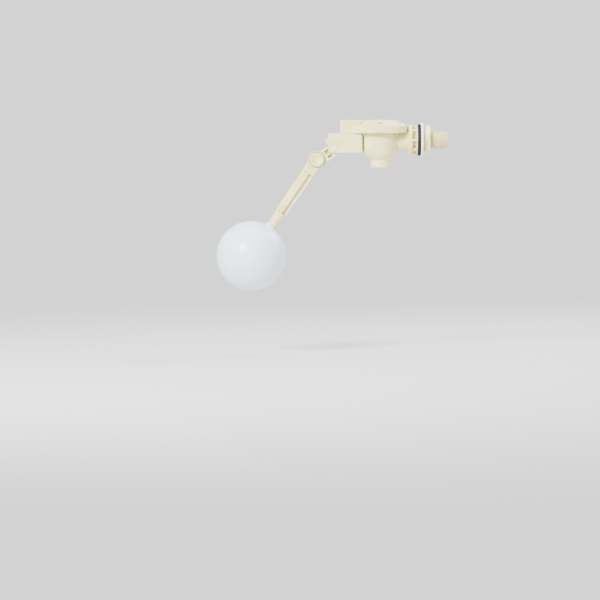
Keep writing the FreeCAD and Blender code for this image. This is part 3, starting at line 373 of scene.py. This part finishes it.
def moulded_cream():
    """Injection moulded ABS: clouded, with painted shade in its corners, paler on worn edges,
    finely textured.
    """
    look = settings().finish
    cloud_scale, flow_scale, grain_scale = 42.0, 150.0, 2400.0
    scuff_scale, speck_scale = 130.0, 300.0
    deepest, palest = 0.80, 1.16
    streak_strength, speck_strength, scuff_strength = 0.5, 0.5, 0.22
    crevice_shade_reach, crevice_shade_strength = 0.004, 0.8
    rub_share = 1.6
    roughness_swing, scuff_roughness = 0.12, 0.2
    material, make, link, shader = new_material("moulded_cream")
    where = make("ShaderNodeTexCoord")
    clouds = noise(make, link, where, cloud_scale, detail=4.0)
    flow = streaks(make, link, where, flow_scale)
    grain = noise(make, link, where, grain_scale, detail=2.0)
    scuffs = hairlines(make, link, where, scuff_scale)
    cream, shade, edge = tuple(look.cream), tuple(look.cream_dirt_and_shade), tuple(look.cream_edge)
    base = ramp(make, link, clouds.outputs["Fac"], 0.30, 0.70,
                scaled(cream, deepest), scaled(cream, palest)).outputs["Color"]
    drift = ramp(make, link, flow.outputs["Fac"], 0.42, 0.72, BLACK, grey(streak_strength))
    base = mix_colour(make, link, drift.outputs["Color"], base, edge)
    # Painted shade: corners and gaps found by ambient occlusion are darkened towards the dark
    # cream.
    crevice_shade = crevices(make, link, crevice_shade_reach, crevice_shade_strength)
    base = mix_colour(make, link, crevice_shade, base, shade)
    rubbed = worn_edges(make, link, clouds.outputs["Fac"], look.edge_softness * rub_share)
    base = mix_colour(make, link, rubbed, base, edge)
    specks = make("ShaderNodeTexVoronoi", Scale=speck_scale)
    link(where.outputs["Object"], specks.inputs["Vector"])
    dirt = ramp(make, link, specks.outputs["Distance"], 0.02, 0.06, grey(speck_strength), BLACK)
    base = mix_colour(make, link, dirt.outputs["Color"], base, shade)
    faint = span(make, link, scuffs, 0.0, scuff_strength)
    base = mix_colour(make, link, faint, base, shade)
    link(base, shader.inputs["Base Color"])
    smoothest = look.cream_roughness - roughness_swing
    roughest = look.cream_roughness + roughness_swing
    shine = make("ShaderNodeMath", operation="ADD")
    link(span(make, link, flow.outputs["Fac"], smoothest, roughest), shine.inputs[0])
    link(span(make, link, scuffs, 0.0, scuff_roughness), shine.inputs[1])
    link(shine.outputs["Value"], shader.inputs["Roughness"])
    shader.inputs["Subsurface Weight"].default_value = 0.08
    shader.inputs["Subsurface Radius"].default_value = (0.004, 0.003, 0.0015)
    shader.inputs["IOR"].default_value = 1.52
    bumps(make, link, shader, [layer(flow.outputs["Fac"], distance=0.0003, strength=0.3),
                               layer(scuffs, distance=-0.00004, strength=0.5),
                               layer(grain.outputs["Fac"], distance=0.00008, strength=0.45)],
          look.edge_softness)
    return material


def blown_white():
    """Blow moulded polythene of the float: milky, faintly blue, with thick and thin patches, and
    painted shade in its corners.
    """
    look = settings().finish
    patch_scale, flow_scale, grain_scale, scuff_scale = 14.0, 60.0, 1500.0, 60.0
    thickest = 1.09
    haze_strength, scuff_strength = 0.3, 0.25
    crevice_shade_reach, crevice_shade_strength = 0.004, 0.5
    smoothest, roughest, scuff_roughness = 0.22, 0.42, 0.3
    material, make, link, shader = new_material("blown_white")
    where = make("ShaderNodeTexCoord")
    patches = noise(make, link, where, patch_scale, detail=3.0)
    flow = streaks(make, link, where, flow_scale)
    grain = noise(make, link, where, grain_scale, detail=2.0)
    scuffs = hairlines(make, link, where, scuff_scale)
    white, haze, scuff_and_shade = tuple(look.float_white), tuple(look.float_haze), tuple(look.float_scuff_and_shade)
    base = ramp(make, link, patches.outputs["Fac"], 0.32, 0.70,
                white, scaled(white, thickest)).outputs["Color"]
    hazy = span(make, link, flow.outputs["Fac"], 0.0, haze_strength)
    base = mix_colour(make, link, hazy, base, haze)
    faint = span(make, link, scuffs, 0.0, scuff_strength)
    base = mix_colour(make, link, faint, base, scuff_and_shade)
    # Painted shade: corners found by ambient occlusion, such as round the socket, are darkened
    # towards the scuff colour.
    crevice_shade = crevices(make, link, crevice_shade_reach, crevice_shade_strength)
    base = mix_colour(make, link, crevice_shade, base, scuff_and_shade)
    link(base, shader.inputs["Base Color"])
    shine = make("ShaderNodeMath", operation="ADD")
    link(span(make, link, flow.outputs["Fac"], smoothest, roughest), shine.inputs[0])
    link(span(make, link, scuffs, 0.0, scuff_roughness), shine.inputs[1])
    link(shine.outputs["Value"], shader.inputs["Roughness"])
    shader.inputs["Subsurface Weight"].default_value = 0.25
    shader.inputs["Subsurface Radius"].default_value = (0.006, 0.008, 0.010)
    shader.inputs["IOR"].default_value = 1.51
    bumps(make, link, shader, [layer(patches.outputs["Fac"], distance=0.0008, strength=0.22),
                               layer(scuffs, distance=-0.00004, strength=0.5),
                               layer(grain.outputs["Fac"], distance=0.00006, strength=0.3)])
    return material


def moulded_white():
    """White polythene of the slip washer, the pivot pin and the small inner parts."""
    cloud_scale, grain_scale = 70.0, 2400.0
    palest = 1.05
    corner_reach, corner_strength = 0.003, 0.35
    smoothest, roughest = 0.34, 0.52
    material, make, link, shader = new_material("moulded_white")
    where = make("ShaderNodeTexCoord")
    clouds = noise(make, link, where, cloud_scale, detail=4.0)
    grain = noise(make, link, where, grain_scale, detail=2.0)
    white = tuple(settings().finish.washer_white)
    base = ramp(make, link, clouds.outputs["Fac"], 0.35, 0.7,
                white, scaled(white, palest)).outputs["Color"]
    # Painted shade: corners found by ambient occlusion are darkened towards grey.
    corner = make("ShaderNodeAmbientOcclusion", Distance=corner_reach, samples=CORNER_SAMPLES)
    shade = span(make, link, corner.outputs["AO"], corner_strength, 0.0)
    base = mix_colour(make, link, shade, base, WHITE_PAINTED_SHADE)
    link(base, shader.inputs["Base Color"])
    link(span(make, link, clouds.outputs["Fac"], smoothest, roughest), shader.inputs["Roughness"])
    shader.inputs["Subsurface Weight"].default_value = 0.12
    shader.inputs["Subsurface Radius"].default_value = (0.003, 0.003, 0.003)
    bumps(make, link, shader, [layer(grain.outputs["Fac"], distance=0.00005, strength=0.35)])
    return material


def rubber(name, colour, dust):
    """Moulded rubber with a dull, faintly dusty skin."""
    cloud_scale, grain_scale = 120.0, 3200.0
    smoothest, roughest = 0.55, 0.80
    material, make, link, shader = new_material(name)
    where = make("ShaderNodeTexCoord")
    clouds = noise(make, link, where, cloud_scale, detail=5.0, roughness=0.65)
    grain = noise(make, link, where, grain_scale, detail=3.0)
    bloom = tuple(min(1.0, c + dust) for c in colour)
    base = ramp(make, link, clouds.outputs["Fac"], 0.42, 0.78, colour, bloom).outputs["Color"]
    link(base, shader.inputs["Base Color"])
    link(span(make, link, clouds.outputs["Fac"], smoothest, roughest), shader.inputs["Roughness"])
    shader.inputs["Specular IOR Level"].default_value = 0.2
    bumps(make, link, shader, [layer(grain.outputs["Fac"], distance=0.00008, strength=0.5)])
    return material


def metal(name, colour, worn, roughness):
    """Turned or drawn metal with fine scratches."""
    scratch_scale, cloud_scale = 1400.0, 160.0
    polished, scratched = 0.08, 0.14
    material, make, link, shader = new_material(name)
    where = make("ShaderNodeTexCoord")
    scratches = noise(make, link, where, scratch_scale, detail=5.0, roughness=0.7)
    clouds = noise(make, link, where, cloud_scale, detail=3.0)
    base = ramp(make, link, clouds.outputs["Fac"], 0.35, 0.7, colour, worn).outputs["Color"]
    link(base, shader.inputs["Base Color"])
    shader.inputs["Metallic"].default_value = 1.0
    link(span(make, link, scratches.outputs["Fac"], roughness - polished, roughness + scratched),
         shader.inputs["Roughness"])
    bumps(make, link, shader, [layer(scratches.outputs["Fac"], distance=0.00003, strength=0.4)])
    return material


def studio_floor(reach):
    """Pale, softly uneven paper that fades into the background towards its edge."""
    cloud_scale = 3.0
    fade_start, fade_end = 0.12, 0.9
    material, make, link, shader = new_material("studio_floor")
    where = make("ShaderNodeTexCoord")
    clouds = noise(make, link, where, cloud_scale, detail=3.0)
    base = ramp(make, link, clouds.outputs["Fac"], 0.3, 0.7, PAPER, PAPER_PALE).outputs["Color"]
    link(base, shader.inputs["Base Color"])
    shader.inputs["Roughness"].default_value = 0.9
    away = make("ShaderNodeVectorMath", operation="LENGTH")
    link(where.outputs["Object"], away.inputs[0])
    fade = make("ShaderNodeMapRange", interpolation_type="SMOOTHSTEP")
    fade.inputs["From Min"].default_value = reach * fade_start
    fade.inputs["From Max"].default_value = reach * fade_end
    fade.inputs["To Min"].default_value = 1.0
    fade.inputs["To Max"].default_value = 0.0
    link(away.outputs["Value"], fade.inputs["Value"])
    link(fade.outputs["Result"], shader.inputs["Alpha"])
    return material


def wear(names, material):
    """Give CAD nodes one material all over."""
    for name in names:
        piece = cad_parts[name]
        piece.data.materials.clear()
        piece.data.materials.append(material)
        for polygon in piece.data.polygons:
            polygon.material_index = 0


# Pieces


def object_from(bm, name, material):
    """Mesh object from a bmesh."""
    mesh = bpy.data.meshes.new(name)
    bm.to_mesh(mesh)
    bm.free()
    mesh.materials.append(material)
    for polygon in mesh.polygons:
        polygon.use_smooth = True
    piece = bpy.data.objects.new(name, mesh)
    bpy.context.scene.collection.objects.link(piece)
    return piece


def spread(first, last, count):
    """Even values from first to last, both included."""
    return [first + (last - first) * step / (count - 1) for step in range(count)]


def blown_ball(material):
    """Closed ball about the arm's axis, with the mould's parting line and the sprue's mark."""
    look = settings().ball
    seam_steps = (-1.1, -0.5, -0.25, 0.25, 0.5, 1.1)
    seam_half, seam_clear = 0.6, 3
    groove_steps = (-1.0, -0.4, 0.4, 1.0)
    groove_half, groove_clear, seam_stop = 0.5, 3, 2
    first_row = math.pi * 0.015
    mark_rows, mark_centre = 6, 0.1
    low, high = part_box("float_ball")
    centre = (low + high) / 2
    radius = (high.y - low.y) / 2
    socket_low, socket_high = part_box("ball_socket")
    along = (socket_low + socket_high) / 2 - centre
    along.y = 0
    along.normalize()
    across = Vector((-along.z, 0, along.x))
    side = Vector((0, 1, 0))
    seam = look.seam_width / radius
    columns = []
    for start in (0.0, math.pi):
        columns += [start + seam * step for step in seam_steps]
        columns += spread(start + seam * seam_clear, start + math.pi - seam * seam_clear,
                          look.columns)
    columns.sort()
    mark = look.sprue_radius / radius
    groove = look.sprue_groove / radius
    mark_edge = math.pi - mark
    rows = spread(first_row, mark_edge - groove * groove_clear, look.rows)
    rows += [mark_edge + groove * step for step in groove_steps]
    rows += spread(mark_edge + groove * groove_clear, math.pi - mark * mark_centre, mark_rows)
    bm = bmesh.new()
    rings = []
    for tilt in rows:
        in_groove = abs(tilt - mark_edge) < groove * groove_half
        ring = []
        for turn in columns:
            off_seam = abs(math.remainder(turn, math.pi))
            on_seam = off_seam < seam * seam_half and tilt < mark_edge - groove * seam_stop
            reach = radius - look.seam_height
            reach += look.seam_height if on_seam else 0.0
            reach -= look.sprue_depth if in_groove else 0.0
            ring.append(bm.verts.new(centre + along * (reach * math.cos(tilt))
                                     + across * (reach * math.sin(tilt) * math.cos(turn))
                                     + side * (reach * math.sin(tilt) * math.sin(turn))))
        rings.append(ring)
    count = len(columns)
    for upper, lower in zip(rings, rings[1:]):
        for step in range(count):
            after = (step + 1) % count
            bm.faces.new((upper[step], lower[step], lower[after], upper[after]))
    for ring, end in ((rings[0], 1), (rings[-1], -1)):
        pole = bm.verts.new(centre + along * (end * (radius - look.seam_height)))
        for step in range(count):
            bm.faces.new((pole, ring[step], ring[(step + 1) % count]))
    bmesh.ops.recalc_face_normals(bm, faces=bm.faces)
    return object_from(bm, "blown_ball", material)


class FLOATVALVE_OT_cream_parts(bpy.types.Operator):
    """Finish the cream mouldings: body, cover, bracket, lever, arm, clamp screw and lock nut."""

    bl_idname = "float_valve.cream_parts"
    bl_label = "Cream mouldings"

    def execute(self, context):
        wear(CREAM_NODES, moulded_cream())
        return {"FINISHED"}


class FLOATVALVE_OT_small_parts(bpy.types.Operator):
    """Finish the screws, spring, nozzle, seals and the white parts."""

    bl_idname = "float_valve.small_parts"
    bl_label = "Seals, fasteners and white parts"

    def execute(self, context):
        look = settings().finish
        wear(STEEL_NODES, metal("stainless", STEEL, STEEL_WORN, roughness=0.28))
        wear(BRASS_NODES, metal("turned_brass", BRASS, BRASS_WORN, roughness=0.26))
        wear(RUBBER_NODES, rubber("black_rubber", tuple(look.rubber_black), dust=0.012))
        wear(GREY_RUBBER_NODES, rubber("grey_rubber", GREY_RUBBER, dust=0.05))
        wear(WHITE_NODES, moulded_white())
        return {"FINISHED"}


class FLOATVALVE_OT_ball(bpy.types.Operator):
    """Build the blown ball and finish its socket."""

    bl_idname = "float_valve.ball"
    bl_label = "Float ball"

    def execute(self, context):
        material = blown_white()
        ball = blown_ball(material)
        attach(ball, "float")
        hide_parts("float_ball")
        wear(("ball_socket",), material)
        return {"FINISHED"}


def area_light(name, place, target, size, power):
    """Square soft light aimed at a point."""
    lamp = bpy.data.lights.new(name, "AREA")
    lamp.shape = "SQUARE"
    lamp.size = size
    lamp.energy = power
    piece = bpy.data.objects.new(name, lamp)
    piece.location = place
    piece.rotation_euler = (target - place).to_track_quat("-Z", "Y").to_euler()
    bpy.context.scene.collection.objects.link(piece)


class FLOATVALVE_OT_stage(bpy.types.Operator):
    """Make the floor, the lights, the world and the camera."""

    bl_idname = "float_valve.stage"
    bl_label = "Stage"

    def execute(self, context):
        stage = settings().stage
        low, high = CAD_BOX
        middle = (low + high) / 2
        bm = bmesh.new()
        bmesh.ops.create_circle(bm, cap_ends=True, segments=FLOOR_SEGMENTS,
                                radius=stage.floor_radius)
        bmesh.ops.translate(bm, verts=bm.verts, vec=(0, 0, low.z - stage.floor_drop))
        object_from(bm, "floor", studio_floor(stage.floor_radius))
        for name, place, size, share in LIGHTS:
            area_light(name, middle + Vector(place), middle, size, stage.key_power * share)
        world = bpy.data.worlds.new("studio")
        world.use_nodes = True
        sky = world.node_tree.nodes["Background"]
        sky.inputs["Color"].default_value = (1, 1, 1, 1)
        sky.inputs["Strength"].default_value = stage.sky
        context.scene.world = world
        lens = bpy.data.cameras.new("camera")
        lens.lens = stage.lens
        lens.clip_end = CAMERA_REACH
        distance = stage.view_width * lens.lens / lens.sensor_width
        back = Vector((math.sin(stage.azimuth) * math.cos(stage.elevation),
                       -math.cos(stage.azimuth) * math.cos(stage.elevation),
                       math.sin(stage.elevation)))
        aim = Vector((low.x + stage.aim_across, 0, high.z - stage.aim_down))
        camera = bpy.data.objects.new("camera", lens)
        camera.location = aim + back * distance
        camera.rotation_euler = (-back).to_track_quat("-Z", "Y").to_euler()
        context.scene.collection.objects.link(camera)
        context.scene.camera = camera
        return {"FINISHED"}


class FLOATVALVE_PT_panel(bpy.types.Panel):
    """Lists the valve's steps and settings."""

    bl_idname = "FLOATVALVE_PT_panel"
    bl_label = "Float valve"
    bl_space_type = "VIEW_3D"
    bl_region_type = "UI"
    bl_category = "Float valve"

    def draw(self, context):
        for operator in OPERATORS:
            self.layout.operator(operator.bl_idname)
        for group in (settings().finish, settings().ball, settings().stage):
            box = self.layout.box()
            for name in type(group).__annotations__:
                box.prop(group, name)


OPERATORS = (FLOATVALVE_OT_cream_parts, FLOATVALVE_OT_small_parts, FLOATVALVE_OT_ball,
             FLOATVALVE_OT_stage)
CLASSES = (FinishSettings, FloatSettings, StageSettings, ValveSettings,
           *OPERATORS, FLOATVALVE_PT_panel)


def register():
    """Register the classes and the scene's settings."""
    for item in CLASSES:
        bpy.utils.register_class(item)
    bpy.types.Scene.float_valve = PointerProperty(type=ValveSettings)


def unregister():
    """Remove the scene's settings and the classes."""
    del bpy.types.Scene.float_valve
    for item in reversed(CLASSES):
        bpy.utils.unregister_class(item)


def main():
    """Build everything in order."""
    register()
    bpy.ops.float_valve.cream_parts()
    bpy.ops.float_valve.small_parts()
    bpy.ops.float_valve.ball()
    bpy.ops.float_valve.stage()


if __name__ == "__main__":
    main()
